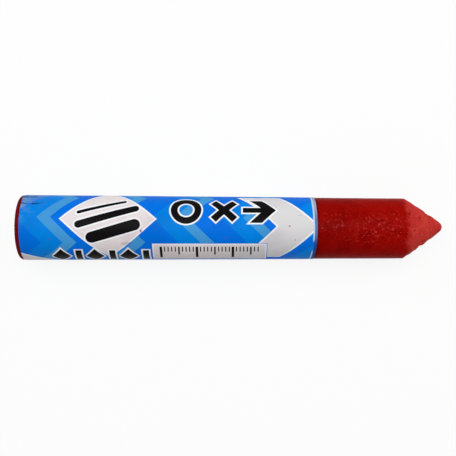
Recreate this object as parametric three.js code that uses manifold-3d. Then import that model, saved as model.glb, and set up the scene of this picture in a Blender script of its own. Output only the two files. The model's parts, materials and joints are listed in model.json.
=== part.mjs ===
// A wax marking crayon: a cast stick of red wax with a blunt point, and a printed paper label that is
// rolled once round the stick, glued to it at its start and to itself along its lap.
//
// All sizes are in millimetres. The stick is drawn along +X from its butt face, then the whole crayon is
// laid down on the plane z = 0, on the flank of its label, with the point towards +X.

import * as THREE from 'three';
import { mergeVertices } from 'three/addons/utils/BufferGeometryUtils.js';
import Module from 'manifold-3d';

const wasm = await Module();
wasm.setup();

// The wax stick
const STICK_LENGTH = 120; // from the butt face to the tip of the nose
const BUTT_DIAMETER = 18.4; // at the butt face, before its edge is rounded
const SHOULDER_DIAMETER = 17.15; // where the point starts: the stick tapers so that it leaves its mould
const POINT_HALF_ANGLE = 35; // degrees, between the flank of the point and the axis
const NOSE_RADIUS = 1.6; // the point is blunt
const NOSE_LEAN = 0.35; // how far the nose sits off the axis
const BUTT_EDGE_RADIUS = 0.9;
const SHOULDER_RADIUS = 1.5;

// The label
const LABEL_START = 1.35; // bare wax between the butt face and the label
const LABEL_WIDTH = 82.35; // along the stick
const PAPER = 0.08; // thickness
const LAP = 6; // length of the second layer, measured round the stick
const LAP_CLIMB = 1.6; // length of the climb on to the first layer
const LAP_DIRECTION = 205; // degrees round from the top, where the label starts and laps over itself

// The glue lines, one between the wax and the label's start, one between the label's two layers
const GLUE = 0.03; // thickness of a line
const GLUE_FIT = 0.01; // air on either side of a line
const START_GLUE_WIDTH = 3;
const LAP_GLUE_WIDTH = 4;
const GLUE_MARGIN = 1.5; // dry paper at the two ends of each line, and outside the lap's line

// Fineness
const FLATS = 40; // round the stick; one of them faces straight down
const ARC_STEPS = 8; // in each rounded edge
const CHIP_FINENESS = 2; // how often a chip's ball is subdivided

const buttRadius = BUTT_DIAMETER / 2;
const shoulderRadius = SHOULDER_DIAMETER / 2;
const pointAngle = THREE.MathUtils.degToRad(POINT_HALF_ANGLE);
const noseEdgeRadius = NOSE_RADIUS * Math.cos(pointAngle); // where the nose meets the flank of the point
const noseEdgeBack = NOSE_RADIUS * (1 - Math.sin(pointAngle)); // the same place, back from the tip
const pointLength = noseEdgeBack + (shoulderRadius - noseEdgeRadius) / Math.tan(pointAngle);
const bodyLength = STICK_LENGTH - pointLength;
const taper = (buttRadius - shoulderRadius) / bodyLength; // radius lost for each millimetre of length

// The paper rides on its glue. These are the radii of the faces at the butt; the taper thins all alike.
const glueSpace = GLUE + 2 * GLUE_FIT;
const startGlueInside = buttRadius + GLUE_FIT;
const labelInside = buttRadius + glueSpace;
const lapGlueInside = labelInside + PAPER + GLUE_FIT;
const lapInside = labelInside + PAPER + glueSpace;
const lapStart = THREE.MathUtils.degToRad(LAP_DIRECTION);

// Crumbs broken out of the point, each a shallow scoop of a ball: `back` is the distance from the tip of
// the nose along the axis, `direction` is in degrees, clockwise from the top as seen from the butt, and
// `spread` is how many times as wide the ball is round the stick.
const CHIPS = [
  { back: 4.7, direction: 270, ballRadius: 0.6, depth: 0.42, spread: 4 },
  { back: 2.2, direction: 266, ballRadius: 0.45, depth: 0.25, spread: 3 },
  { back: 6.4, direction: 92, ballRadius: 1.7, depth: 0.27, spread: 3 },
  { back: 7.4, direction: 333, ballRadius: 0.9, depth: 0.3, spread: 1.3 },
  { back: 9.3, direction: 6, ballRadius: 0.7, depth: 0.3, spread: 1 },
  { back: 10.7, direction: 331, ballRadius: 1, depth: 0.28, spread: 1.4 },
  { back: 6.2, direction: 48, ballRadius: 1, depth: 0.22, spread: 1.5 },
];

// The points of an arc of `radius` that rounds the corner between two straight stretches of an outline.
function roundedCorner(before, corner, after, radius) {
  const toBefore = before.clone().sub(corner).normalize();
  const toAfter = after.clone().sub(corner).normalize();
  const halfAngle = Math.acos(toBefore.dot(toAfter)) / 2;
  const bisector = toBefore.clone().add(toAfter).normalize();
  const centre = corner.clone().addScaledVector(bisector, radius / Math.sin(halfAngle));
  const first = corner.clone().addScaledVector(toBefore, radius / Math.tan(halfAngle)).sub(centre);
  const last = corner.clone().addScaledVector(toAfter, radius / Math.tan(halfAngle)).sub(centre);
  const turn = Math.atan2(first.cross(last), first.dot(last));
  const arc = [];
  for (let i = 0; i <= ARC_STEPS; i++) {
    arc.push(first.clone().rotateAround(new THREE.Vector2(), (turn * i) / ARC_STEPS).add(centre));
  }
  return arc;
}

// Half the stick's outline, as (radius, distance from the butt face), from the butt's centre to the nose.
function stickOutline() {
  const buttCentre = new THREE.Vector2(0, 0);
  const buttCorner = new THREE.Vector2(buttRadius, 0);
  const shoulder = new THREE.Vector2(shoulderRadius, bodyLength);
  const noseEdge = new THREE.Vector2(noseEdgeRadius, STICK_LENGTH - noseEdgeBack);
  const outline = [
    buttCentre,
    ...roundedCorner(buttCentre, buttCorner, shoulder, BUTT_EDGE_RADIUS),
    ...roundedCorner(buttCorner, shoulder, noseEdge, SHOULDER_RADIUS),
  ];
  for (let i = 0; i < ARC_STEPS; i++) {
    const angle = THREE.MathUtils.lerp(pointAngle, Math.PI / 2, i / ARC_STEPS);
    const along = STICK_LENGTH - NOSE_RADIUS * (1 - Math.sin(angle));
    outline.push(new THREE.Vector2(NOSE_RADIUS * Math.cos(angle), along));
  }
  outline.push(new THREE.Vector2(0, STICK_LENGTH));
  return outline;
}

// A closed geometry as a solid that can be joined and cut.
function solidOf(geometry) {
  const bare = geometry.clone().deleteAttribute('normal').deleteAttribute('uv');
  const merged = mergeVertices(bare, 1e-3);
  return new wasm.Manifold(
    new wasm.Mesh({
      numProp: 3,
      vertProperties: merged.attributes.position.array,
      triVerts: new Uint32Array(merged.index.array),
    }),
  );
}

function geometryOf(solid) {
  const mesh = solid.getMesh();
  return new THREE.BufferGeometry()
    .setAttribute('position', new THREE.BufferAttribute(mesh.vertProperties, 3))
    .setIndex(new THREE.BufferAttribute(mesh.triVerts, 1));
}

function chipScoop({ back, direction, ballRadius, depth, spread }) {
  const flankRadius = noseEdgeRadius + (back - noseEdgeBack) * Math.tan(pointAngle);
  const standOff = ballRadius - depth;
  const radius = flankRadius + standOff * Math.cos(pointAngle);
  const around = THREE.MathUtils.degToRad(direction);
  const ball = new THREE.IcosahedronGeometry(ballRadius, CHIP_FINENESS);
  ball.scale(1, spread, 1).rotateX(around);
  ball.translate(
    STICK_LENGTH - back + standOff * Math.sin(pointAngle),
    -radius * Math.sin(around),
    radius * Math.cos(around),
  );
  return solidOf(ball);
}

function waxStickGeometry() {
  const turned = new THREE.LatheGeometry(stickOutline(), FLATS, Math.PI / FLATS);
  turned.rotateZ(-Math.PI / 2);
  let stick = solidOf(turned);
  for (const chip of CHIPS) stick = stick.subtract(chipScoop(chip));

  // The point leans from its shoulder to its nose.
  const leaning = geometryOf(stick);
  const position = leaning.attributes.position;
  for (let i = 0; i < position.count; i++) {
    const share = Math.max(0, (position.getX(i) - bodyLength) / pointLength);
    position.setY(i, position.getY(i) + NOSE_LEAN * share);
  }
  return leaning;
}

// The radius in any direction of a regular polygon of FLATS sides that stands on one of them, and whose
// corners lie on a circle of radius 1. The stick has this section, and the layers round it have it too.
const flatAngle = (2 * Math.PI) / FLATS;
const cornerDirection = (k) => (k + 0.5) * flatAngle;

function polygonRadius(direction) {
  const fromMiddle = direction - Math.round(direction / flatAngle) * flatAngle;
  return Math.cos(flatAngle / 2) / Math.cos(fromMiddle);
}

// The directions in which a layer's outline has its points: its two ends, the stick's corners in between,
// and any `others`. Of two that nearly meet, one is left out.
function directionsBetween(from, to, others = []) {
  const all = [from, ...others];
  for (let k = Math.ceil(from / flatAngle - 0.5); cornerDirection(k) < to; k++) all.push(cornerDirection(k));
  all.sort((a, b) => a - b);
  const clear = flatAngle / 20;
  const kept = all.filter((direction, i) => i === 0 || direction - all[i - 1] > clear);
  while (to - kept.at(-1) <= clear) kept.pop();
  return [...kept, to];
}

// The cut end of a layer wrapped round the stick: out along its inner face and back along its outer one.
// `insideAt` gives the inner face's radius in each direction.
function layerOutline(directions, insideAt, thickness) {
  const at = (direction, radius) => {
    const r = radius * polygonRadius(direction);
    return new THREE.Vector2(-r * Math.sin(direction), r * Math.cos(direction));
  };
  return new THREE.Shape([
    ...directions.map((direction) => at(direction, insideAt(direction))),
    ...directions.toReversed().map((direction) => at(direction, insideAt(direction) + thickness)),
  ]);
}

// Runs a layer along the stick, and draws it in towards the axis as the stick tapers.
function alongStick(outline, start, width) {
  const layer = new THREE.ExtrudeGeometry(outline, { depth: width, bevelEnabled: false });
  const alongX = new THREE.Matrix4().makeBasis(
    new THREE.Vector3(0, 1, 0),
    new THREE.Vector3(0, 0, 1),
    new THREE.Vector3(1, 0, 0),
  );
  layer.translate(0, 0, start).applyMatrix4(alongX);
  const position = layer.attributes.position;
  for (let i = 0; i < position.count; i++) {
    const y = position.getY(i);
    const z = position.getZ(i);
    const drawnIn = taper * position.getX(i) * polygonRadius(Math.atan2(-y, z));
    const scale = 1 - drawnIn / Math.hypot(y, z);
    position.setY(i, y * scale);
    position.setZ(i, z * scale);
  }
  layer.computeVertexNormals();
  return layer;
}

// One full turn of paper, whose last stretch climbs on to its own start, and the lap.
function labelGeometry() {
  const fullTurn = lapStart + 2 * Math.PI;
  const climbStart = fullTurn - LAP_CLIMB / buttRadius;
  const end = fullTurn + LAP / buttRadius;
  const insideAt = (direction) => {
    const climbed = THREE.MathUtils.smoothstep(direction, climbStart, fullTurn);
    return THREE.MathUtils.lerp(labelInside, lapInside, climbed);
  };
  const outline = layerOutline(directionsBetween(lapStart, end, [fullTurn]), insideAt, PAPER);
  return alongStick(outline, LABEL_START, LABEL_WIDTH);
}

function glueGeometry(from, width, inside) {
  const outline = layerOutline(directionsBetween(from, from + width / buttRadius), () => inside, GLUE);
  return alongStick(outline, LABEL_START + GLUE_MARGIN, LABEL_WIDTH - 2 * GLUE_MARGIN);
}

const waxMaterial = new THREE.MeshStandardMaterial({ color: 0x9c120f, roughness: 0.5, metalness: 0 });
const paperMaterial = new THREE.MeshStandardMaterial({ color: 0x0d7ce2, roughness: 0.4, metalness: 0 });
const glueMaterial = new THREE.MeshStandardMaterial({ color: 0xd9cba3, roughness: 0.3, metalness: 0 });

function piece(name, geometry, material) {
  const mesh = new THREE.Mesh(geometry, material);
  mesh.name = name;
  return mesh;
}

const lapGlueStart = lapStart + (LAP - GLUE_MARGIN - LAP_GLUE_WIDTH) / buttRadius;

const crayon = new THREE.Group();
crayon.add(
  piece('wax_stick', waxStickGeometry(), waxMaterial),
  piece('paper_label', labelGeometry(), paperMaterial),
  piece('start_glue', glueGeometry(lapStart, START_GLUE_WIDTH, startGlueInside), glueMaterial),
  piece('lap_glue', glueGeometry(lapGlueStart, LAP_GLUE_WIDTH, lapGlueInside), glueMaterial),
);

// Laid down, the crayon leans towards its point by its taper, so that the label lies along the plane.
crayon.rotation.y = Math.atan(taper * polygonRadius(Math.PI));
crayon.updateMatrixWorld(true);
const box = new THREE.Box3().setFromObject(crayon, true);
crayon.position.set(-(box.min.x + box.max.x) / 2, -(box.min.y + box.max.y) / 2, -box.min.z);

export default crayon;
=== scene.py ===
import json
import math
import random

import bmesh
import bpy
from bpy.props import FloatProperty, FloatVectorProperty, PointerProperty
from bpy.types import Operator, Panel, PropertyGroup
from mathutils import Matrix, Vector, kdtree, noise


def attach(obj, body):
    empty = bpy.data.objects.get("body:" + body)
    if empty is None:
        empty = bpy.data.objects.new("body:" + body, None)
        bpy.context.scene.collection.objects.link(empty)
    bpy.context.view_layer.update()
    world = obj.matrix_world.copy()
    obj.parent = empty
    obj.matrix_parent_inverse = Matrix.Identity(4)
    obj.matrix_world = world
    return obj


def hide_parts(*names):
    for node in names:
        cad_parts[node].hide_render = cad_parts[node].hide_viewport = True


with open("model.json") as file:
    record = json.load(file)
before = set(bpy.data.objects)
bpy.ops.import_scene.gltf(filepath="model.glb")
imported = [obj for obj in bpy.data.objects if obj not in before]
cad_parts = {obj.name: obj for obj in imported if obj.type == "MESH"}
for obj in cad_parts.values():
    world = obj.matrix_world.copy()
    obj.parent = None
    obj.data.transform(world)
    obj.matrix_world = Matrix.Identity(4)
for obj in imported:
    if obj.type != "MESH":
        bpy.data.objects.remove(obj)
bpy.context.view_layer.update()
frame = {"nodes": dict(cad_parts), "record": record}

bl_info = {
    "name": "Wax Marking Crayon",
    "version": (1, 0, 0),
    "blender": (4, 5, 0),
    "location": "View3D > Sidebar > Crayon",
    "description": "A thick wax marking crayon with a printed paper label rolled round it",
    "category": "Object",
}

MM = 0.001

# The crayon's own frame has its origin at the middle of the butt face, X along the crayon and Z up.
BUTT_FACE = frame["record"]["mounts"][0]
TILT = Vector((1, 0, 0)).rotation_difference(-Vector(BUTT_FACE["axis"]))
LAID_DOWN = Matrix.Translation(BUTT_FACE["pos_m"]) @ TILT.to_matrix().to_4x4()
CAD_FLATS = 40  # the solids have this many flats round them, which the smooth label touches from inside
INSCRIBED = math.cos(math.pi / CAD_FLATS)


# Properties


def length(name, default, description):
    return FloatProperty(name=name, description=description, default=default, unit="LENGTH", precision=5)


def angle(name, default, description):
    return FloatProperty(name=name, description=description, default=math.radians(default), subtype="ANGLE")


def number(name, default, description):
    return FloatProperty(name=name, description=description, default=default, min=0.0)


def linear(shown):
    share = shown / 255
    return share / 12.92 if share <= 0.04045 else ((share + 0.055) / 1.055) ** 2.4


def shade(*shown):
    """A colour for a shader, given as a screen shows it, from 0 to 255."""
    return tuple(linear(value) for value in shown)


def colour(name, shown, description):
    return FloatVectorProperty(
        name=name, description=description, default=shade(*shown), subtype="COLOR", min=0, max=1
    )


class CrayonStick(PropertyGroup):
    """The cast wax stick"""

    length: length("Length", 120 * MM, "From the butt face to the tip of the nose")
    butt_diameter: length("Butt diameter", 18.4 * MM, "At the butt face, before its edge is rounded")
    shoulder_diameter: length("Shoulder diameter", 17.15 * MM, "Where the point starts")
    point_angle: angle("Point angle", 35, "Between the flank of the point and the axis")
    nose_radius: length("Nose radius", 1.6 * MM, "Roundness of the blunt tip")
    nose_lean: length("Nose lean", 0.45 * MM, "How far the nose sits off the axis")
    point_swell: length("Point swell", 0.18 * MM, "How far the flank of the point bulges")
    butt_edge: length("Butt edge", 0.9 * MM, "Radius of the butt's rounded edge")
    shoulder_edge: length("Shoulder edge", 1.5 * MM, "Radius of the rounded shoulder")
    body_colour: colour("Body colour", (152, 9, 4), "The wax as it came out of the mould")
    point_colour: colour("Point colour", (196, 52, 47), "The wax where the point has been shaped")
    # Painted shade: the cut butt and its rounded edge darker than the rest of the wax.
    butt_shade_colour: colour("Butt colour", (104, 8, 12), "The wax at the cut butt")


class CrayonLabel(PropertyGroup):
    """The printed paper label"""

    start: length("Start", 1.35 * MM, "Bare wax between the butt face and the label")
    width: length("Width", 82.35 * MM, "Of the strip of paper, along the stick")
    paper: length("Paper", 0.08 * MM, "Thickness of the printed paper")
    glue_space: length("Glue space", 0.05 * MM, "From the wax to the paper, and between its two layers")
    lap: length("Lap", 6 * MM, "Length of the second layer, round the stick")
    climb: length("Climb", 1.6 * MM, "Length of the climb on to the first layer")
    lap_direction: angle("Lap direction", 205, "Round from the top, where the label starts")
    blue: colour("Blue", (0, 112, 224), "Ground of the print")
    mid_blue: colour("Middle blue", (0, 129, 224), "Broad band of the print")
    light_blue: colour("Light blue", (68, 152, 214), "Narrow band of the print")
    paper_white: colour("Paper", (228, 220, 220), "Bare paper")
    line_white: colour("White line", (240, 242, 246), "Lines round the white fields and the black marks")
    black: colour("Black", (13, 11, 12), "Ink of the marks")


class CrayonStage(PropertyGroup):
    """The floor, the lamps and the camera"""

    end_power: number("End lamps", 1.35, "Power of each of the two lamps past the ends, in watts")
    top_power: number("Top lamp", 2.1, "Power of the large soft lamp overhead, in watts")
    sky: number("Sky", 0.25, "Strength of the light from all round")


# Shader arithmetic


def arithmetic(operation):
    """A Wire's method for an operator, and its reflected form for a number on the left."""

    def forward(wire, other):
        return wire.nodes.math(operation, wire, other)

    def reflected(wire, other):
        return wire.nodes.math(operation, other, wire)

    return forward, reflected


class Wire:
    """An output of a node. Arithmetic on it adds Math nodes."""

    def __init__(self, nodes, socket):
        self.nodes = nodes
        self.socket = socket

    __add__, __radd__ = arithmetic("ADD")
    __sub__, __rsub__ = arithmetic("SUBTRACT")
    __mul__, __rmul__ = arithmetic("MULTIPLY")
    __truediv__, __rtruediv__ = arithmetic("DIVIDE")
    __mod__, __rmod__ = arithmetic("FLOORED_MODULO")

    def __abs__(self):
        return self.nodes.math("ABSOLUTE", self)


class Nodes:
    """The nodes of a material or of the world, in the making."""

    def __init__(self, tree):
        self.tree = tree

    def node(self, kind, settings=None, inputs=()):
        """Adds a node and returns its outputs by name. Inputs are given by name or number, or in order."""
        made = self.tree.nodes.new(kind)
        for name, value in (settings or {}).items():
            setattr(made, name, value)
        given = inputs if isinstance(inputs, dict) else dict(enumerate(inputs))
        for socket, value in given.items():
            self.feed(made.inputs[socket], value)
        return {output.name: Wire(self, output) for output in made.outputs if output.enabled}

    def feed(self, socket, value):
        if isinstance(value, Wire):
            self.tree.links.new(value.socket, socket)
        elif socket.type == "RGBA":
            socket.default_value = (*value, 1.0)
        else:
            socket.default_value = value

    def math(self, operation, *values):
        return self.node("ShaderNodeMath", {"operation": operation}, values)["Value"]

    def lowest(self, first, *others):
        for other in others:
            first = self.math("MINIMUM", first, other)
        return first

    def highest(self, first, *others):
        for other in others:
            first = self.math("MAXIMUM", first, other)
        return first

    def distance(self, x, y):
        return self.math("SQRT", x * x + y * y)

    def fade(self, value, start, end, low=0.0, high=1.0):
        """Goes from `low` at `start` to `high` at `end`, smoothly, and stays there."""
        settings = {"interpolation_type": "SMOOTHSTEP"}
        return self.node("ShaderNodeMapRange", settings, (value, start, end, low, high))["Result"]

    def inside(self, distance, blur=0.03):
        """1 where a distance to an outline is negative, and 0 where it is positive."""
        return self.fade(distance, blur, -blur)

    def looked_at(self):
        """1 where the camera or a reflection shows something, and 0 where it only lights the rest."""
        path = self.node("ShaderNodeLightPath")
        return path["Is Camera Ray"] + path["Is Glossy Ray"] + path["Is Transmission Ray"]

    def blend_shaders(self, share, first, second, output):
        mixed = self.node("ShaderNodeMixShader", None, (share, first, second))["Shader"]
        self.feed(self.tree.nodes[output].inputs["Surface"], mixed)


class Finish(Nodes):
    """A material in the making."""

    SHARE, FIRST_COLOUR, SECOND_COLOUR = 0, 6, 7  # the inputs of a Mix node that mixes colours

    def __init__(self, name, constants=None):
        self.material = bpy.data.materials.new(name)
        self.material.use_nodes = True
        super().__init__(self.material.node_tree)
        self.shader = self.tree.nodes["Principled BSDF"]
        self.paint(constants or {})

    def paint(self, inputs):
        for socket, value in inputs.items():
            self.feed(self.shader.inputs[socket], value)
        return self.material

    def mix(self, share, first, second, blend_type="MIX"):
        settings = {"data_type": "RGBA", "blend_type": blend_type}
        inputs = {self.SHARE: share, self.FIRST_COLOUR: first, self.SECOND_COLOUR: second}
        return self.node("ShaderNodeMix", settings, inputs)["Result"]

    def tint(self, ground, share, by):
        """Darkens a colour by multiplying it by another, as far as `share` says."""
        return self.mix(share, ground, by, "MULTIPLY")

    def place(self):
        """Where a point lies in the object's space, in metres."""
        return self.node("ShaderNodeTexCoord")["Object"]

    def attribute(self, name, output):
        return self.node("ShaderNodeAttribute", {"attribute_name": name})[output]

    def stretched(self, vector, *by):
        return self.node("ShaderNodeVectorMath", {"operation": "MULTIPLY"}, (vector, by))["Vector"]

    def shifted(self, vector, *by):
        return self.node("ShaderNodeVectorMath", {"operation": "ADD"}, (vector, by))["Vector"]

    def turned(self, vector, degrees):
        """Turns a pattern about the vertical."""
        inputs = {"Vector": vector, "Rotation": (0, 0, math.radians(degrees))}
        return self.node("ShaderNodeMapping", {"vector_type": "POINT"}, inputs)["Vector"]

    def axes(self, vector):
        parts = self.node("ShaderNodeSeparateXYZ", None, (vector,))
        return parts["X"], parts["Y"], parts["Z"]

    def noise(self, vector, grains_per_mm, detail=3.0, roughness=0.5):
        inputs = {"Vector": vector, "Scale": grains_per_mm / MM, "Detail": detail, "Roughness": roughness}
        return self.node("ShaderNodeTexNoise", None, inputs)["Fac"]

    def cells(self, vector, cells_per_mm):
        """The distance to the nearest of scattered dots, in parts of their spacing."""
        inputs = {"Vector": vector, "Scale": cells_per_mm / MM}
        return self.node("ShaderNodeTexVoronoi", None, inputs)["Distance"]

    def bump(self, height, depth_mm):
        """Raises the surface by `depth_mm` where `height` is 1."""
        inputs = {"Height": height, "Distance": depth_mm * MM, "Strength": 1.0}
        return self.node("ShaderNodeBump", None, inputs)["Normal"]


# Modelling helpers

SHARPEST = math.radians(50)  # edges that turn by less are shaded smooth


def shade_smooth(shape):
    for face in shape.faces:
        face.smooth = True
    for edge in shape.edges:
        edge.smooth = not edge.is_manifold or edge.calc_face_angle() < SHARPEST


def finished_object(name, shape, material, slot, *nodes):
    """Lays the modelled piece down and makes it an object that stands for CAD nodes."""
    shape.transform(LAID_DOWN)
    shade_smooth(shape)
    mesh = bpy.data.meshes.new(name)
    shape.to_mesh(mesh)
    shape.free()
    mesh.materials.append(material)
    piece = bpy.data.objects.new(name, mesh)
    bpy.context.scene.collection.objects.link(piece)
    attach(piece, "root")
    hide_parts(*nodes)


def around(along, radius, direction):
    """A point at an angle round the axis, measured from the top, clockwise as seen from the butt."""
    return Vector((along, -radius * math.sin(direction), radius * math.cos(direction)))


def arc_between(before, corner, after, radius, steps):
    """The points of an arc of `radius` that rounds the corner between two straight stretches."""
    to_before = (before - corner).normalized()
    to_after = (after - corner).normalized()
    half = to_before.angle(to_after) / 2
    centre = corner + (to_before + to_after).normalized() * (radius / math.sin(half))
    first = (corner + to_before * (radius / math.tan(half)) - centre).normalized()
    last = (corner + to_after * (radius / math.tan(half)) - centre).normalized()
    return [centre + first.slerp(last, i / steps) * radius for i in range(steps + 1)]


def clamp(value):
    return min(1.0, max(0.0, value))


def smooth_step(value, start, end):
    share = clamp((value - start) / (end - start))
    return share * share * (3 - 2 * share)


# The wax stick

WAX_GRID = 0.2 * MM  # spacing of the points on the bare wax
FACE_GRID = 0.8 * MM  # and on the flat of the butt
HIDDEN_GRID = 2.5 * MM  # and on the wax under the label
ROUND_STEPS = 288
ARC_STEPS = 9
MERGE = 0.001 * MM
UNDERCUT = 0.1 * MM  # the wax under the label is this much thinner, so that the paper can dent
HEM = (0.3 * MM, 1.2 * MM)  # the undercut fades out between these, back from the label's ends

# Depths of the wax's unevenness, in mm: ripples and grain of the casting, and the rubbed flank of the point
RIPPLE, GRAIN, RUBBED = 0.018, 0.012, 0.06
LEVEL, POINT_LEVEL = 0.015, 0.01  # taken off it, because nothing may rise above the mould's surface

# Crumbs broken out of the point: back from the tip, direction in degrees, ball radius and depth, in mm,
# and how many times as wide the chip is round the stick
CHIPS = [
    (4.8, 270, 0.6, 0.46, 4.5),
    (4.2, 270, 2.4, 0.22, 2.0),
    (2.3, 266, 0.45, 0.34, 3.0),
    (8.3, 270, 8.0, 0.14, 1.5),
    (4.3, 90, 6.0, 0.16, 1.5),
    (6.9, 91, 2.2, 0.49, 2.5),
    (9.0, 90, 12.0, 0.25, 1.2),
    (10.75, 90, 3.5, 0.32, 3.0),
    (3.0, 96, 0.9, 0.08, 2.5),
    (7.4, 333, 0.9, 0.22, 1.3),
    (9.3, 6, 0.7, 0.22, 1.0),
    (10.7, 331, 1.0, 0.2, 1.4),
    (6.2, 48, 1.0, 0.16, 1.5),
    (12.1, 350, 0.8, 0.16, 1.3),
    (11.4, 10, 0.7, 0.15, 1.6),
    (4.9, 343, 0.8, 0.1, 1.5),
    (9.5, 23, 0.5, 0.15, 1.0),
    (14.3, 16, 0.6, 0.1, 1.5),
]
CRUMBS = 90  # more small pits, scattered over the point and thinning out behind the shoulder
CRUMBS_FROM, CRUMBS_REACH = 1.5, 13.5  # mm back from the tip, and on from there
CRUMBS_SPREAD = 0.45  # less than 1 puts more of them far from the tip
SEED = 7
BROKEN = 1.3 * MM  # chips by a smaller ball are broken out and painted dark as shade in them, and others are rubbed flat
DARK_DEPTH = 0.2 * MM  # a broken chip this deep gets the darkest painted shade


class StickShape:
    """The stick's outline, worked out from its sizes."""

    def __init__(self, sizes):
        self.length = sizes.length
        self.butt = sizes.butt_diameter / 2
        self.shoulder = sizes.shoulder_diameter / 2
        self.butt_edge = sizes.butt_edge
        self.shoulder_edge = sizes.shoulder_edge
        self.angle = sizes.point_angle
        self.slope = math.tan(sizes.point_angle)
        self.nose = sizes.nose_radius
        self.nose_edge = self.nose * math.cos(sizes.point_angle)
        self.nose_back = self.nose * (1 - math.sin(sizes.point_angle))
        self.point = self.nose_back + (self.shoulder - self.nose_edge) / self.slope
        self.body = self.length - self.point
        self.taper = (self.butt - self.shoulder) / self.body
        self.lean = sizes.nose_lean
        self.swell = sizes.point_swell

    def radius(self, along):
        return self.butt - self.taper * along

    def bulge(self, back):
        """How far the flank of the point stands proud of a straight cone, `back` from the tip."""
        share = clamp((back - self.nose_back) / (self.point - self.nose_back))
        return self.swell * math.sin(math.pi * share) ** 0.5

    def flank_radius(self, back):
        return self.nose_edge + (back - self.nose_back) * self.slope + self.bulge(back)


def stick_outline(stick, label):
    """Points from the butt's centre to the tip, as (along, 0, radius), with the spacing after each."""
    butt_centre = Vector((0, 0, 0))
    butt_corner = Vector((0, 0, stick.butt))
    shoulder = Vector((stick.body, 0, stick.shoulder))
    nose_edge = Vector((stick.length - stick.nose_back, 0, stick.nose_edge))
    hidden_from, hidden_to = label.start + 1.0 * MM, label.start + label.width - 1.5 * MM
    outline = [(butt_centre, FACE_GRID)]
    arc = arc_between(butt_centre, butt_corner, shoulder, stick.butt_edge, ARC_STEPS)
    outline += [(point, WAX_GRID) for point in arc]
    outline.append((Vector((hidden_from, 0, stick.radius(hidden_from))), HIDDEN_GRID))
    outline.append((Vector((hidden_to, 0, stick.radius(hidden_to))), WAX_GRID))
    arc = arc_between(butt_corner, shoulder, nose_edge, stick.shoulder_edge, ARC_STEPS)
    outline += [(point, WAX_GRID) for point in arc]
    for i in range(ARC_STEPS + 1):
        turn = stick.angle + (math.pi / 2 - stick.angle) * i / ARC_STEPS
        along = stick.length - stick.nose * (1 - math.sin(turn))
        outline.append((Vector((along, 0, stick.nose * math.cos(turn))), WAX_GRID))
    outline[-1][0].z = 0.0  # the tip lies on the axis
    return outline


def turned_stick(stick, label):
    shape = bmesh.new()
    outline = stick_outline(stick, label)
    points = [shape.verts.new(point) for point, _ in outline]
    edges = [shape.edges.new(pair) for pair in zip(points, points[1:])]
    for edge, (_, spacing) in zip(edges, outline):
        cuts = round(edge.calc_length() / spacing) - 1
        if cuts > 0:
            bmesh.ops.subdivide_edges(shape, edges=[edge], cuts=cuts)
    bmesh.ops.spin(
        shape,
        geom=shape.verts[:] + shape.edges[:],
        cent=(0, 0, 0),
        axis=(1, 0, 0),
        dvec=(0, 0, 0),
        angle=2 * math.pi,
        steps=ROUND_STEPS,
        use_merge=True,
        use_normal_flip=False,
        use_duplicate=False,
    )
    bmesh.ops.remove_doubles(shape, verts=shape.verts, dist=MERGE)
    bmesh.ops.recalc_face_normals(shape, faces=shape.faces)
    shape.verts.layers.float.new("chipped")
    shape.normal_update()
    shape.verts.ensure_lookup_table()
    return shape


def search_tree(shape):
    tree = kdtree.KDTree(len(shape.verts))
    for vert in shape.verts:
        tree.insert(vert.co, vert.index)
    tree.balance()
    return tree


def under_label(along, label):
    """1 where the label covers the wax, fading out at its two ends."""
    label_end = label.start + label.width
    begun = smooth_step(along, label.start + HEM[0], label.start + HEM[1])
    ended = smooth_step(along, label_end - HEM[1], label_end - HEM[0])
    return begun * (1 - ended)


def cast_surface(shape, stick, label):
    """Gives the wax its unevenness: ripples of the casting, and the rubbed flank of the point."""
    for vert in shape.verts:
        place = vert.co / MM
        along = vert.co.x
        on_point = smooth_step(along, stick.body - 0.6 * MM, stick.body + 0.8 * MM)
        ripple = noise.fractal(place * 0.55, 0.9, 2.0, 3) * RIPPLE
        grain = noise.noise(place * 2.6) * GRAIN
        rubbed = noise.fractal(Vector((place.x * 0.5, place.y * 1.1, place.z * 1.1)), 0.8, 2.2, 4) * RUBBED
        dent = min(0.0, ripple + grain - LEVEL + on_point * (rubbed - POINT_LEVEL))
        under = under_label(along, label)
        out = dent * MM * (1 - under) - UNDERCUT * under + stick.bulge(stick.length - along)
        vert.co += vert.normal * out


def scattered_crumbs(stick):
    """Small pits at random places, most of them on the point, given as the chips are."""
    dice = random.Random(SEED)
    for _ in range(CRUMBS):
        back = CRUMBS_FROM + CRUMBS_REACH * dice.random() ** CRUMBS_SPREAD
        ball = dice.uniform(0.25, 0.65) * (1.0 if back * MM < stick.point else 0.7)
        direction = dice.uniform(0, 360)
        depth = ball * dice.uniform(0.12, 0.3)
        spread = dice.uniform(0.8, 1.8)
        yield back, direction, ball, depth, spread


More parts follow.
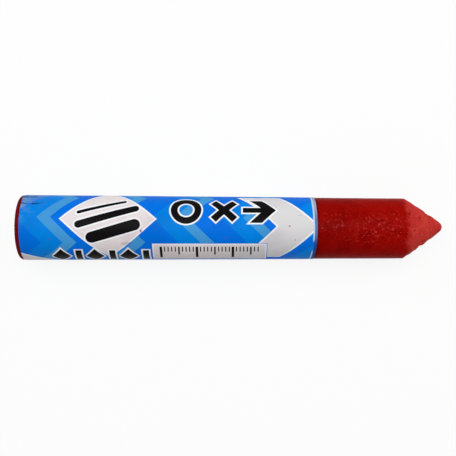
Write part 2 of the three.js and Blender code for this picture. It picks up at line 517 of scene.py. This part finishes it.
def scoop(shape, stick, tree, back, direction, ball, depth, spread):
    """Pushes the surface straight in to a ball that reaches `depth` into it.

    Keeps how deep each point of a broken chip went, for the shade painted in it.
    """
    chipped = shape.verts.layers.float["chipped"]
    back, ball, depth = back * MM, ball * MM, depth * MM
    turn = math.radians(direction)
    along = stick.length - back
    on_point = back < stick.point
    radius = stick.flank_radius(back) if on_point else stick.radius(along)
    slant = stick.angle if on_point else 0.0
    sin, cos = math.sin(slant), math.cos(slant)
    lift = ball - depth  # of the ball's centre over the surface
    reach = math.sqrt(ball * ball - lift * lift)
    for _, index, _ in tree.find_range(around(along, radius, turn), reach * (1 + spread)):
        vert = shape.verts[index]
        out = math.hypot(vert.co.y, vert.co.z)
        aside = (math.atan2(-vert.co.y, vert.co.z) - turn + math.pi) % (2 * math.pi) - math.pi
        ahead, above = vert.co.x - along, out - radius
        across = math.hypot(ahead * cos - above * sin, aside * out / spread)
        if across < reach:
            height = ahead * sin + above * cos
            drop = max(0.0, height - lift + math.sqrt(ball * ball - across * across))
            if ball < BROKEN:
                vert[chipped] = min(1.0, vert[chipped] + drop / DARK_DEPTH)
            vert.co = around(vert.co.x - drop * sin, out - drop * cos, turn + aside)


def lean_point(shape, stick):
    for vert in shape.verts:
        share = max(0.0, (vert.co.x - stick.body) / stick.point)
        vert.co.y += stick.lean * share


# The wax's finish

STREAK = shade(134, 34, 24)
# The glint colour is a painted highlight, mixed into the wax where its wrinkles and blisters catch the
# lamps.
PAINTED_GLINT = shade(204, 62, 54)
SCRAPE = shade(214, 88, 84)
RUBBED_SMOOTH = shade(206, 74, 58)
BLADE_MARK = shade(148, 30, 30)


def laid_down_x(along):
    return (LAID_DOWN @ Vector((along, 0, 0))).x


class WaxFinish(Finish):
    """Red wax, as it was cast on the body, paler on the shaped point, and painted dark as shade at the cut
    butt.
    """

    def __init__(self, sizes, stick, label):
        super().__init__("cast_wax", {"Specular IOR Level": 0.01, "Coat Roughness": 0.22})
        self.sizes = sizes
        self.shoulder_x = laid_down_x(stick.body)
        self.label_end_x = laid_down_x(label.start + label.width)
        butt_x = BUTT_FACE["pos_m"][0]
        self.where = self.place()
        self.x, self.y, self.z = self.axes(self.where)

        self.cloud = self.noise(self.where, 0.22, 3.0, 0.6)
        self.mottle = self.noise(self.where, 1.3, 4.0, 0.6)
        self.breaks = self.noise(self.where, 1.3, 2.0, 0.5)
        self.fine = self.noise(self.where, 4.5, 3.0, 0.6)
        self.streaks = self.noise(self.stretched(self.where, 0.06, 1.0, 1.0), 1.6, 3.0, 0.6)
        slanting = self.stretched(self.turned(self.where, 38), 0.16, 1.0, 1.0)
        self.scrapes = self.noise(slanting, 1.5, 4.0, 0.6)
        self.blade = self.noise(self.stretched(self.where, 1.0, 0.1, 1.0), 2.0, 3.0, 0.6)

        # The zones: the shaped point and the cut butt, both with uneven edges
        self.edge = self.x + (self.cloud - 0.5) * (7.0 * MM) + (self.mottle - 0.5) * (3.0 * MM)
        self.shaped = self.fade(self.edge, self.shoulder_x - 1.5 * MM, self.shoulder_x + 2.1 * MM)
        butt_edge = self.x + (self.mottle - 0.5) * (2.0 * MM)
        self.at_butt = self.fade(butt_edge, butt_x + 3.0 * MM, butt_x + 1.5 * MM)
        self.cast_marks()

    def cast_marks(self):
        """Wrinkles and blisters of the casting, which catch the light and carry painted highlights, and
        painted shade in the hollows beside them, both kept to the lit top.
        """
        patches = self.noise(self.shifted(self.where, 0.05, 0.0, 0.0), 0.14, 2.0)
        # Painted highlights and painted shade are kept to the top of the stick, under the lamps.
        lit_top = self.fade(self.z + self.y * 0.03, 15.4 * MM, 17.3 * MM, 0.2, 1.0)
        near_point = self.fade(self.x, self.shoulder_x - 24.0 * MM, self.shoulder_x - 8.0 * MM, 0.55, 1.0)
        self.rough_on_lit_top = self.fade(patches, 0.34, 0.5, 0.3, 1.0) * (1 - self.shaped) * lit_top * near_point

        folds = self.noise(self.shifted(self.where, 0.02, 0.0, 0.01), 0.75, 2.0, 0.55)
        wrinkles = self.inside(abs(folds - 0.5) - 0.028, 0.03) * self.fade(self.breaks, 0.5, 0.56)
        dots = self.cells(self.shifted(self.where, 0.013, 0.007, 0.003), 0.85)
        blisters = self.fade(dots, 0.27, 0.15) * self.fade(self.breaks, 0.5, 0.44)
        by_shoulder = self.fade(self.x, self.shoulder_x - 10.0 * MM, self.shoulder_x - 5.0 * MM)
        large_dots = self.cells(self.shifted(self.where, 0.007, 0.003, 0.011), 0.5)
        drops = self.fade(large_dots, 0.26, 0.08) * by_shoulder * 0.8
        small = self.highest(wrinkles, blisters) * (1 - by_shoulder * 0.55)
        self.glints = self.highest(small, drops) * self.rough_on_lit_top
        # Painted shade: dark lines beside the wrinkles, as their shaded side.
        self.painted_hollow_shade = self.inside(abs(folds - 0.59) - 0.035, 0.03) * self.rough_on_lit_top

    def body(self):
        """The cast wax, paler towards the point and darker towards the label by painted shade."""
        # Painted shade: darker from the shoulder back to the label's end.
        back = self.fade(self.x, self.shoulder_x, self.label_end_x)
        wax = self.tint(self.sizes.body_colour, back, (0.8, 0.78, 0.78))
        wax = self.tint(wax, self.fade(self.cloud, 0.4, 0.62), (0.84, 0.55, 0.5))
        wax = self.mix(self.fade(self.streaks, 0.58, 0.75) * 0.25, wax, STREAK)
        # Painted shade beside the wrinkles.
        wax = self.tint(wax, self.painted_hollow_shade * 0.9, (0.72, 0.2, 0.2))
        # Painted highlight: the glint colour on the wrinkles and blisters.
        return self.mix(self.glints * 0.45, wax, PAINTED_GLINT)

    def point(self):
        """The shaped wax: scraped, rubbed smooth in places, and torn and pitted next to the shoulder, the
        pits painted dark as shade.
        """
        wax = self.tint(self.sizes.point_colour, self.fade(self.mottle, 0.42, 0.72), (0.91, 0.78, 0.78))
        wax = self.mix(self.fade(self.scrapes, 0.55, 0.72) * 0.4, wax, SCRAPE)
        smooth = self.noise(self.shifted(self.where, 0.0, 0.03, 0.0), 0.28, 2.0)
        wax = self.mix(self.fade(smooth, 0.45, 0.65) * 0.4, wax, RUBBED_SMOOTH)
        rings = self.noise(self.stretched(self.where, 1.0, 0.22, 0.22), 1.6, 3.0, 0.6)
        torn = self.fade(rings, 0.55, 0.68) * self.fade(self.breaks, 0.45, 0.6)
        wax = self.tint(wax, torn * 0.5, (0.6, 0.28, 0.28))
        ragged = self.fade(self.edge, self.shoulder_x + 2.6 * MM, self.shoulder_x + 0.6 * MM, 0.25, 1.0)
        # Painted shade: dark dots for pits, most of them next to the shoulder.
        pits = self.fade(self.cells(self.where, 0.75), 0.17, 0.07)
        return self.tint(wax, pits * ragged * 0.8, (0.55, 0.22, 0.22))

    def butt(self):
        """The cut wax in painted shade, with marks of the blade and a few pits painted dark as shade."""
        wax = self.mix(self.fade(self.blade, 0.5, 0.66) * 0.4, self.sizes.butt_shade_colour, BLADE_MARK)
        wax = self.tint(wax, self.fade(self.mottle, 0.48, 0.66) * 0.8, (0.72, 0.5, 0.5))
        # Painted shade: dark dots for pits in the cut face.
        pits = self.fade(self.cells(self.where, 0.4), 0.2, 0.1)
        return self.tint(wax, pits * 0.8, (0.5, 0.3, 0.3))

    def skin(self):
        """The three zones together, with chips painted dark as shade and a painted shadow along the label's
        end.
        """
        skin = self.mix(self.shaped, self.body(), self.point())
        # Painted shade in the broken chips, darker the deeper they go.
        chipped = self.fade(self.attribute("chipped", "Fac"), 0.35, 0.9)
        skin = self.tint(skin, chipped * 0.8, (0.56, 0.28, 0.28))
        # Painted shadow: a thin dark line on the wax beside the label's end.
        painted_shadow = self.fade(self.x, self.label_end_x + 0.8 * MM, self.label_end_x + 0.1 * MM)
        skin = self.tint(skin, painted_shadow, (0.62, 0.6, 0.8))
        return self.mix(self.at_butt, skin, self.butt())

    def relief(self):
        pits = self.fade(self.cells(self.where, 1.7), 0.1, 0.32)
        body = pits * self.rough_on_lit_top * 0.5 + self.fine * 0.12 + self.glints * 0.5 + self.streaks * 0.4
        point = self.scrapes * 0.7 + self.mottle * 0.3 + self.fine * 0.1
        height = body * (1 - self.shaped) + point * self.shaped + self.blade * self.at_butt * 0.5
        return self.bump(height, 0.05)

    def finished(self):
        return self.paint({
            "Base Color": self.skin(),
            "Roughness": 0.32 + self.shaped * 0.3 + (self.mottle - 0.5) * 0.2,
            "Coat Weight": self.glints * 0.16,
            "Normal": self.relief(),
        })


class CRAYON_OT_wax_stick(Operator):
    """Cast the tapered wax stick and shape its chipped point"""

    bl_idname = "crayon.wax_stick"
    bl_label = "Wax Stick"
    bl_options = {"REGISTER", "UNDO"}

    def execute(self, context):
        sizes, label = context.scene.crayon_stick, context.scene.crayon_label
        stick = StickShape(sizes)
        shape = turned_stick(stick, label)
        tree = search_tree(shape)
        cast_surface(shape, stick, label)
        for chip in [*CHIPS, *scattered_crumbs(stick)]:
            scoop(shape, stick, tree, *chip)
        lean_point(shape, stick)
        material = WaxFinish(sizes, stick, label).finished()
        finished_object("wax_casting", shape, material, "wax", "wax_stick")
        return {"FINISHED"}


# The label

PAPER_GRID = 0.4 * MM

# Creases in the paper: from (along, round) to (along, round), in mm from the label's start, and the
# crease's depth and the half width of the dark line painted along it as shade, in mm
CREASES = [
    ((0.1, 17.3), (1.5, 17.5), 0.14, 0.22),
    ((1.5, 17.5), (3.1, 17.6), 0.12, 0.1),
    ((3.1, 17.6), (6.0, 17.1), 0.16, 0.24),
    ((0.2, 14.1), (3.6, 13.7), 0.16, 0.4),
    ((0.4, 15.2), (3.4, 16.7), 0.07, 0.05),
    ((0.0, 20.6), (1.8, 21.8), 0.06, 0.04),
    ((77.0, 21.0), (82.5, 22.4), 0.05, 0.03),
]
CREASE_HALF_WIDTH, RIDGE_HALF_WIDTH = 0.5, 2.0  # of the furrow and of the raised paper beside it, in mm
DEEPEST = 0.1  # mm, which the wax's undercut leaves room for
SAG, WAVE, FLUTTER = 0.022, 0.012, 0.008  # mm: how far the paper lies in on average, and its gentle waves
LAP_BLEND = 0.3  # radians, over which the dents die out on either side of the lap
LAP_COVERS = 0.6  # radians of the strip's start, which stays undented under the lap

# The end towards the point wasn't cut straight, and lies back at the sides
CROOKED_LENGTH = 12 * MM  # of paper that is drawn back with it
DRAWN_BACK, ONE_SIDED = 0.5 * MM, 0.15 * MM  # the mean of the two sides, and how far each is from it


class LabelShape:
    """How the flat strip of paper is rolled round the stick."""

    def __init__(self, stick, sizes):
        self.stick = stick
        self.sizes = sizes
        self.first = sizes.lap_direction
        self.full_turn = self.first + 2 * math.pi
        self.climb_start = self.full_turn - sizes.climb / stick.butt
        self.end = self.full_turn + sizes.lap / stick.butt
        self.around = (self.end - self.first) * stick.butt
        self.inside = sizes.glue_space
        self.lap_inside = 2 * sizes.glue_space + sizes.paper

    def direction(self, flat):
        return self.first + flat.y / self.stick.butt

    def lapped(self, direction):
        """1 on the lap and under it, and 0 on the single layer."""
        on_lap = smooth_step(direction, self.climb_start - LAP_BLEND, self.climb_start)
        covered = self.first + LAP_COVERS
        return max(on_lap, 1 - smooth_step(direction, covered, covered + LAP_BLEND))

    def rolled(self, flat):
        """Where a point of the strip goes. `flat` is along the stick, round it, and out of the paper."""
        direction = self.direction(flat)
        along = self.sizes.start + flat.x
        climbed = smooth_step(direction, self.climb_start, self.full_turn)
        inside = self.inside + climbed * (self.lap_inside - self.inside)
        return around(along, (self.stick.radius(along) + inside + flat.z) * INSCRIBED, direction)


def distance_to_line(point, first, last):
    """The distance to a stretch of line, and how far along it the nearest point lies, from 0 to 1."""
    stretch = last - first
    share = clamp((point - first).dot(stretch) / stretch.length_squared)
    return (point - first - stretch * share).length, share


def dent_at(flat):
    """How far the rolled paper is pressed in or raised, in mm: gentle waves, and sharp creases."""
    place = Vector((flat.x, flat.y)) / MM
    wave = noise.noise(Vector((place.x * 0.16, place.y * 0.3, 3.0)))
    flutter = noise.noise(Vector((place.x * 0.7, place.y * 0.9, 8.0)))
    dent = WAVE * wave + FLUTTER * flutter - SAG
    for first, last, depth, _ in CREASES:
        distance, share = distance_to_line(place, Vector(first), Vector(last))
        fading = depth * (1 - 0.7 * share)
        dent += fading * max(0.0, 1 - distance / RIDGE_HALF_WIDTH) * (0.8 + 0.5 * flutter)
        dent -= fading * 2 * max(0.0, 1 - distance / CREASE_HALF_WIDTH)
    return max(-DEEPEST, dent)


def drawn_back(flat, direction, width):
    """How far the crooked cut at the label's end draws a point of the paper back."""
    side = math.sin(direction)
    near_end = smooth_step(flat.x, width - CROOKED_LENGTH, width)
    return near_end * (DRAWN_BACK + ONE_SIDED * side) * side * side


def flat_strip(label):
    """The strip of paper, flat, with its thickness."""
    shape = bmesh.new()
    columns, rows = round(label.sizes.width / PAPER_GRID), round(label.around / PAPER_GRID)
    bmesh.ops.create_grid(shape, x_segments=columns, y_segments=rows, size=0.5)
    bmesh.ops.translate(shape, verts=shape.verts, vec=(0.5, 0.5, 0))
    bmesh.ops.scale(shape, verts=shape.verts, vec=(label.sizes.width, label.around, 1))
    outer = bmesh.ops.extrude_face_region(shape, geom=shape.faces[:])["geom"]
    outer = [part for part in outer if isinstance(part, bmesh.types.BMVert)]
    bmesh.ops.translate(shape, verts=outer, vec=(0, 0, label.sizes.paper))
    bmesh.ops.recalc_face_normals(shape, faces=shape.faces)
    return shape


def roll_up(shape, label):
    """Rolls the strip, and keeps where each point was on the flat strip for the print."""
    flat_layer = shape.verts.layers.float_vector.new("flat")
    for vert in shape.verts:
        flat = vert.co.copy()
        vert[flat_layer] = flat
        direction = label.direction(flat)
        flat.z += dent_at(flat) * MM * (1 - label.lapped(direction))
        flat.x -= drawn_back(flat, direction, label.sizes.width)
        vert.co = label.rolled(flat)


# The print's motifs, as distances to their outlines, in mm along the label (s) and round it (w)

FACE = 28.9  # the design is printed twice round the label, each copy this wide
LINE = 0.45  # width of the white lines
ZIGZAG, ZIGZAG_SHIFT = 14.45, 3.0  # one zigzag of the ground's bands, and where it starts
BAND_PITCH = 19.0
BROAD_BAND, NARROW_BAND = (9.0, 3.0), (13.9, 1.9)  # middle and half width
SCALE_PANEL = (52.5, 8.3, 15.5, 3.3)  # middle and half sizes
SCALE_START, SCALE_END, SCALE_TOP = 39.0, 66.0, 5.7
TICKS = [(1, 0.16, 7.6), (5, 0.22, 9.0), (10, 0.36, 10.6)]  # pitch, half width, and where they end
LOZENGE_AT, TAIL_AT = (24.5, -2.5), (77.0, -0.5)
STROKES_AT, STROKES_TURN = (24.5, -2.2), -17  # degrees
RING_AT, CROSS_AT, ARROW_AT = (46.0, -5.4), (56.5, -5.4), (66.5, -5.4)
ROW_START, ROW_MIDDLE, ROW_PITCH, ROW_COUNT = 8.4, 9.6, 9.4, 3


def box(ink, x, y, half_x, half_y):
    return ink.highest(abs(x) - half_x, abs(y) - half_y)


def rod(ink, x, y, half_length, radius):
    """A round-ended stroke."""
    past = ink.highest(abs(x) - half_length, 0.0)
    return ink.distance(past, y) - radius


def lozenge(x, y, normal, size):
    """A lozenge whose sides face along `normal`, `size` from its middle."""
    return abs(x) * normal[0] + abs(y) * normal[1] - size


def chevron(ink, x, y, half_width, reach):
    """A right-angled bar that points along x."""
    return ink.highest(abs(x + abs(y)) * math.sqrt(0.5) - half_width, abs(y) - reach)


def turned_axes(x, y, degrees):
    cos, sin = math.cos(math.radians(degrees)), math.sin(math.radians(degrees))
    return x * cos + y * sin, y * cos - x * sin


def white_fields(ink, s, w):
    """A lozenge, an arrow's tail, and a corner at the butt."""
    middle = lozenge(s - LOZENGE_AT[0], w - LOZENGE_AT[1], (0.7, 0.77), 9.0)
    tail = chevron(ink, s - TAIL_AT[0], w - TAIL_AT[1], 3.8, 10.5)
    corner = ink.highest((s * 0.5 + 8.4 - w) * 0.89, w - 13.4)
    return ink.lowest(middle, tail, corner)


def ticks(ink, s, w, pitch, half_width, bottom):
    """The ticks of a scale that stand `pitch` apart."""
    nearest = abs((s - SCALE_START + pitch / 2) % pitch - pitch / 2) - half_width
    past_ends = ink.highest(SCALE_START - 0.4 - s, s - SCALE_END - 0.4)
    return ink.highest(nearest, SCALE_TOP - w, w - bottom, past_ends)


def scale_ticks(ink, s, w):
    """A scale of millimetres, with longer ticks each 5 and each 10."""
    return ink.lowest(*(ticks(ink, s, w, *kind) for kind in TICKS))


def strokes(ink, s, w):
    """Three slanting strokes, from thin to thick."""
    x, y = turned_axes(s - STROKES_AT[0], w - STROKES_AT[1], STROKES_TURN)
    thin = rod(ink, x + 0.6, y + 4.6, 6.6, 0.5)
    middle = rod(ink, x, y + 1.2, 8.2, 1.0)
    thick = rod(ink, x - 0.4, y - 3.4, 6.2, 1.6)
    return ink.lowest(thin, middle, thick)


def signs(ink, s, w):
    """A ring, a cross and an arrow."""
    ring = abs(ink.distance(s - RING_AT[0], w - RING_AT[1]) - 3.3) - 0.95
    x, y = turned_axes(s - CROSS_AT[0], w - CROSS_AT[1], 45)
    cross = ink.lowest(box(ink, x, y, 4.2, 1.0), box(ink, x, y, 1.0, 4.2))
    x, y = s - ARROW_AT[0], w - ARROW_AT[1]
    arrow = ink.lowest(chevron(ink, x - 2.7, y, 1.2, 3.9), box(ink, x + 1.2, y, 3.6, 0.85))
    return ink.lowest(ring, cross, arrow)


def row_of_marks(ink, s, w):
    """Lozenges and bars in turn."""
    x, y = (s - ROW_START) % ROW_PITCH - ROW_PITCH / 2, w - ROW_MIDDLE
    marks = ink.lowest(lozenge(x + 2.0, y, (0.768, 0.64), 1.984), box(ink, x - 2.9, y, 0.85, 2.6))
    return ink.highest(marks, ROW_START - s, s - (ROW_START + ROW_PITCH * ROW_COUNT))


# The label's finish

PALE_LINE = shade(190, 212, 240)
# The strip's lit and shaded tones are painted light and painted shade.
STRIP, STRIP_LIT, STRIP_SHADED = shade(96, 118, 162), shade(158, 168, 192), shade(30, 80, 156)
WORN = shade(114, 154, 182)
# Painted shade: the dark colour along the creases.
CREASE_SHADE = shade(16, 30, 60)
WAX_SMEAR = shade(120, 34, 44)
SEAM, SEAM_BLEND = 14.4, 12.0  # mm from the print's middle: its edge, and where the tones fade towards it

# Spots and smears on the print: along, round from the top line, half width and height, in mm, and share
STAINS = [
    (33.6, 0.9, 0.2, 0.5, 0.9),
    (29.5, 4.6, 1.6, 0.7, 0.25),
    (17.4, -4.6, 0.22, 0.22, 0.5),
    (74.6, -0.6, 0.3, 0.22, 0.9),
    (76.2, 3.4, 0.2, 0.3, 0.4),
    (57.2, 2.8, 0.5, 0.16, 0.5),
    (8.2, 3.4, 0.22, 0.22, 0.5),
]


class PaperFinish(Finish):
    """Printed paper that has been handled."""

    def __init__(self, label):
        super().__init__("printed_paper", {"Specular IOR Level": 0.03})
        self.sizes = label.sizes
        self.end = label.sizes.width / MM
        flat = self.attribute("flat", "Vector")
        self.s, self.around, self.depth = self.axes(self.stretched(flat, 1 / MM, 1 / MM, 1 / MM))
        self.from_top = self.around - (2 * math.pi - label.first) * label.stick.butt / MM
        self.w = (self.from_top + FACE / 2) % FACE - FACE / 2

        self.fibres = self.noise(self.stretched(flat, 1.0, 2.5, 1.0), 1.1, 4.0, 0.65)
        self.cloud = self.noise(flat, 0.06, 4.0, 0.6)
        self.scuff = self.noise(self.stretched(flat, 0.6, 1.1, 1.0), 0.8, 5.0, 0.68)
        patchy = self.fade(self.noise(flat, 0.42, 5.0, 0.62), 0.44, 0.6)
        slant = self.s + (self.around - 13) * 0.95 + (self.scuff - 0.5) * 5
        crushed = self.fade(slant, 8.0, 5.2) * self.fade(self.around, 11.6, 12.6)
        brushed = self.fade(slant, 13.0, 7.0) * self.fade(self.around, 15.0, 19.0) * patchy
        flecks = self.fade(self.scuff, 0.7, 0.78) * 0.2
        self.worn = self.highest(crushed * (patchy * 0.4 + 0.4), brushed * 0.25, flecks)
        self.crease_furrow_shade = self.crease_lines()

    def crease_lines(self):
        """1 along a crease, where it is painted dark as shade."""
        uneven = (self.scuff - 0.5) * 0.7
        outlines = []
        for first, last, _, half_width in CREASES:
            stretch = Vector(last) - Vector(first)
            x, y = self.s - first[0], self.around - first[1]
            share = (x * stretch.x + y * stretch.y) / stretch.length_squared
            share = self.lowest(self.highest(share, 0.0), 1.0)
            distance = self.distance(x - share * stretch.x, y - share * stretch.y)
            outlines.append(distance + uneven + share * 0.1 - half_width)
        return self.inside(self.lowest(*outlines), 0.09)

    def ground(self):
        """Broad and narrow bands that run in a zigzag round the label."""
        zigzag = abs((self.w + ZIGZAG_SHIFT) % ZIGZAG - ZIGZAG / 2)
        across = (self.s + zigzag) % BAND_PITCH
        ground = self.sizes.blue
        for (middle, half_width), band in (
            (BROAD_BAND, self.sizes.mid_blue),
            (NARROW_BAND, self.sizes.light_blue),
        ):
            ground = self.mix(self.inside(abs(across - middle) - half_width), ground, band)
        return ground

    def design(self):
        """The design as it was printed, and where it is black."""
        s, w, sizes = self.s, self.w, self.sizes
        bare = self.tint(sizes.paper_white, self.fade(s, 50.0, 72.0), (0.88, 0.94, 0.95))
        middle_s, middle_w, half_width, half_height = SCALE_PANEL
        panel = box(self, s - middle_s, w - middle_w, half_width, half_height)
        shown = self.ground()
        for field in (white_fields(self, s, w), panel):
            shown = self.mix(self.inside(field - LINE), shown, sizes.line_white)
            shown = self.mix(self.inside(field), shown, bare)
        shown = self.mix(self.inside(abs(panel - LINE) - 0.09), shown, sizes.blue)
        marks = self.lowest(strokes(self, s, w), signs(self, s, w), row_of_marks(self, s, w))
        shown = self.mix(self.inside(marks - LINE), shown, sizes.line_white)
        black = self.highest(self.inside(marks), self.inside(scale_ticks(self, s, w)))
        return self.mix(black, shown, sizes.black), black

    def bordered(self, shown):
        """Adds a pale line and a strip along the end towards the point, which change round the label: the
        strip has painted light on one flank and painted shade on the other.
        """
        w = self.w
        # Painted light on one flank of the strip, painted shade on the other.
        pale = self.fade(w, -2.0, -8.0) * self.fade(w, -SEAM, -SEAM_BLEND)
        deep = self.fade(w, 1.5, 5.0) * self.fade(w, SEAM, SEAM_BLEND)
        gone = self.fade(w, 3.0, 4.5) * self.fade(w, 8.5, 6.5)
        strip = self.mix(deep, self.mix(pale, STRIP, STRIP_LIT), STRIP_SHADED)
        shown = self.mix(self.inside(self.end - 1.15 - self.s) * (1 - gone), shown, PALE_LINE)
        return self.mix(self.inside(self.end - 0.75 - self.s), shown, strip)

    def handled(self, shown):
        """Adds dirt, rubbed ink, creases painted dark as shade, and smears of wax."""
        shown = self.tint(shown, self.fade(self.cloud, 0.42, 0.72) * 0.8, (0.84, 0.8, 0.84))
        shown = self.tint(shown, self.fibres * 0.22, (0.86, 0.86, 0.88))
        shown = self.mix(self.worn, shown, WORN)
        # Painted shade: dark lines along the creases.
        shown = self.mix(self.crease_furrow_shade * 0.85, shown, CREASE_SHADE)
        for along, aside, half_width, half_height, share in STAINS:
            x, y = (self.s - along) / half_width, (self.from_top - aside) / half_height
            spot = self.fade(x * x + y * y + (self.scuff - 0.5) * 2, 1.3, 0.5)
            shown = self.mix(spot * share, shown, WAX_SMEAR)
        return shown

    def finished(self):
        design, black = self.design()
        shown = self.handled(self.bordered(design))
        thickness = self.sizes.paper / MM
        printed = self.fade(self.depth, thickness * 0.6, thickness * 0.95)  # on the outer face alone
        height = self.fibres * 0.4 + self.scuff * 0.3 + (self.cloud - self.crease_furrow_shade) * 0.6
        return self.paint({
            "Base Color": self.mix(printed, self.sizes.paper_white, shown),
            "Roughness": 0.44 + (self.fibres - 0.5) * 0.2 - black * 0.08 + self.worn * 0.3,
            "Normal": self.bump(height, 0.03),
        })


class CRAYON_OT_paper_label(Operator):
    """Print the paper label and roll it round the stick"""

    bl_idname = "crayon.paper_label"
    bl_label = "Paper Label"
    bl_options = {"REGISTER", "UNDO"}

    def execute(self, context):
        label = LabelShape(StickShape(context.scene.crayon_stick), context.scene.crayon_label)
        shape = flat_strip(label)
        roll_up(shape, label)
        finished_object("rolled_label", shape, PaperFinish(label).finished(), "paper", "paper_label")
        return {"FINISHED"}


# The glue lines

AMBER, CREAM = shade(196, 172, 120), shade(222, 210, 176)


def glue_finish():
    glue = Finish("dried_paste")
    place = glue.place()
    streaks = glue.noise(glue.stretched(place, 0.15, 1.0, 1.0), 1.5, 4.0, 0.6)
    bubbles = glue.fade(glue.cells(place, 1.2), 0.1, 0.25)
    return glue.paint({
        "Base Color": glue.tint(glue.mix(streaks, AMBER, CREAM), 1 - bubbles, (0.8, 0.76, 0.66)),
        "Roughness": 0.25 + streaks * 0.3,
        "Normal": glue.bump(streaks + bubbles, 0.02),
    })


class CRAYON_OT_glue_lines(Operator):
    """Finish the two lines of dried paste under the label's start and its lap"""

    bl_idname = "crayon.glue_lines"
    bl_label = "Glue Lines"
    bl_options = {"REGISTER", "UNDO"}

    def execute(self, context):
        material = glue_finish()
        for node in ("start_glue", "lap_glue"):
            for slot in frame["nodes"][node].material_slots:
                slot.material = material
        return {"FINISHED"}


# The stage

CAMERA_PLACE = Vector((0.5, 0.0, 250.0)) * MM
CAMERA_TURN = math.radians(0.36)  # about Y, so that it looks at the middle of the picture
CAMERA_ROLL = math.radians(0.16)
LENS = 66.6  # mm, on a sensor 36 mm wide
NEAREST = 0.01
LAMP_SIZE = 0.4
BUTT_END_LAMP, POINT_END_LAMP, TOP_LAMP = (-0.5, 0.38, 0.6), (0.5, 0.38, 0.6), (0.0, 0.13, 0.6)
FLOOR_HALF_SIZE = 3.0
FLOOR_WHITENESS = 0.88  # how much of the floor shows as plain white, and the rest takes the crayon's shadow
WHITE = (1, 1, 1)


def stand_camera():
    camera = bpy.data.objects.new("camera", bpy.data.cameras.new("camera"))
    camera.location = CAMERA_PLACE
    turned = Matrix.Rotation(CAMERA_TURN, 3, "Y") @ Matrix.Rotation(CAMERA_ROLL, 3, "Z")
    camera.rotation_euler = turned.to_euler()
    camera.data.lens = LENS
    camera.data.clip_start = NEAREST
    bpy.context.scene.collection.objects.link(camera)
    bpy.context.scene.camera = camera


def hang_lamp(name, power, place):
    """Hangs a round soft lamp that shines on the crayon's middle."""
    lamp = bpy.data.lights.new(name, "AREA")
    lamp.energy = power
    lamp.shape = "DISK"
    lamp.size = LAMP_SIZE
    holder = bpy.data.objects.new(name, lamp)
    holder.location = place
    holder.rotation_euler = (-Vector(place)).to_track_quat("-Z", "Y").to_euler()
    bpy.context.scene.collection.objects.link(holder)


def floor_finish():
    paper = Finish("white_paper_floor", {"Roughness": 0.9})
    sweep = paper.noise(paper.place(), 0.02, 2.0)
    lit = Wire(paper, paper.shader.outputs["BSDF"])
    white = paper.node("ShaderNodeEmission", None, {"Color": WHITE, "Strength": 1.0})["Emission"]
    paper.blend_shaders(paper.looked_at() * FLOOR_WHITENESS, lit, white, "Material Output")
    return paper.paint({"Base Color": paper.mix(sweep, (0.86, 0.86, 0.86), (0.88, 0.88, 0.88))})


def pale_floor():
    shape = bmesh.new()
    bmesh.ops.create_grid(shape, x_segments=1, y_segments=1, size=FLOOR_HALF_SIZE)
    mesh = bpy.data.meshes.new("floor")
    shape.to_mesh(mesh)
    shape.free()
    mesh.materials.append(floor_finish())
    floor = bpy.data.objects.new("floor", mesh)
    bpy.context.scene.collection.objects.link(floor)


def light_sky(strength):
    """Soft light from all round, and plain white behind everything."""
    world = bpy.data.worlds.new("soft_sky")
    world.use_nodes = True
    sky = Nodes(world.node_tree)
    glow, white = (
        sky.node("ShaderNodeBackground", None, {"Color": WHITE, "Strength": value})["Background"]
        for value in (strength, 1.0)
    )
    sky.blend_shaders(sky.looked_at(), glow, white, "World Output")
    bpy.context.scene.world = world


class CRAYON_OT_stage(Operator):
    """Lay a white floor, hang the lamps and stand the camera"""

    bl_idname = "crayon.stage"
    bl_label = "Stage"
    bl_options = {"REGISTER", "UNDO"}

    def execute(self, context):
        stage = context.scene.crayon_stage
        pale_floor()
        light_sky(stage.sky)
        hang_lamp("butt_end_lamp", stage.end_power, BUTT_END_LAMP)
        hang_lamp("point_end_lamp", stage.end_power, POINT_END_LAMP)
        hang_lamp("top_lamp", stage.top_power, TOP_LAMP)
        stand_camera()
        context.scene.view_settings.view_transform = "Standard"
        return {"FINISHED"}


# The panel, and running the steps


class CRAYON_PT_panel(Panel):
    """Sizes and colours of the crayon, and the steps that make it"""

    bl_label = "Marking Crayon"
    bl_space_type = "VIEW_3D"
    bl_region_type = "UI"
    bl_category = "Crayon"

    def draw(self, context):
        for group, step in (
            (context.scene.crayon_stick, CRAYON_OT_wax_stick),
            (context.scene.crayon_label, CRAYON_OT_paper_label),
            (None, CRAYON_OT_glue_lines),
            (context.scene.crayon_stage, CRAYON_OT_stage),
        ):
            column = self.layout.box()
            if group is not None:
                for name in group.__annotations__:
                    column.prop(group, name)
            column.operator(step.bl_idname)


CLASSES = (
    CrayonStick,
    CrayonLabel,
    CrayonStage,
    CRAYON_OT_wax_stick,
    CRAYON_OT_paper_label,
    CRAYON_OT_glue_lines,
    CRAYON_OT_stage,
    CRAYON_PT_panel,
)


def register():
    for made in CLASSES:
        bpy.utils.register_class(made)
    bpy.types.Scene.crayon_stick = PointerProperty(type=CrayonStick)
    bpy.types.Scene.crayon_label = PointerProperty(type=CrayonLabel)
    bpy.types.Scene.crayon_stage = PointerProperty(type=CrayonStage)


def unregister():
    for name in ("crayon_stage", "crayon_label", "crayon_stick"):
        delattr(bpy.types.Scene, name)
    for made in reversed(CLASSES):
        bpy.utils.unregister_class(made)


def main():
    register()
    bpy.ops.crayon.wax_stick()
    bpy.ops.crayon.paper_label()
    bpy.ops.crayon.glue_lines()
    bpy.ops.crayon.stage()
    bpy.context.view_layer.update()


if __name__ == "__main__":
    main()
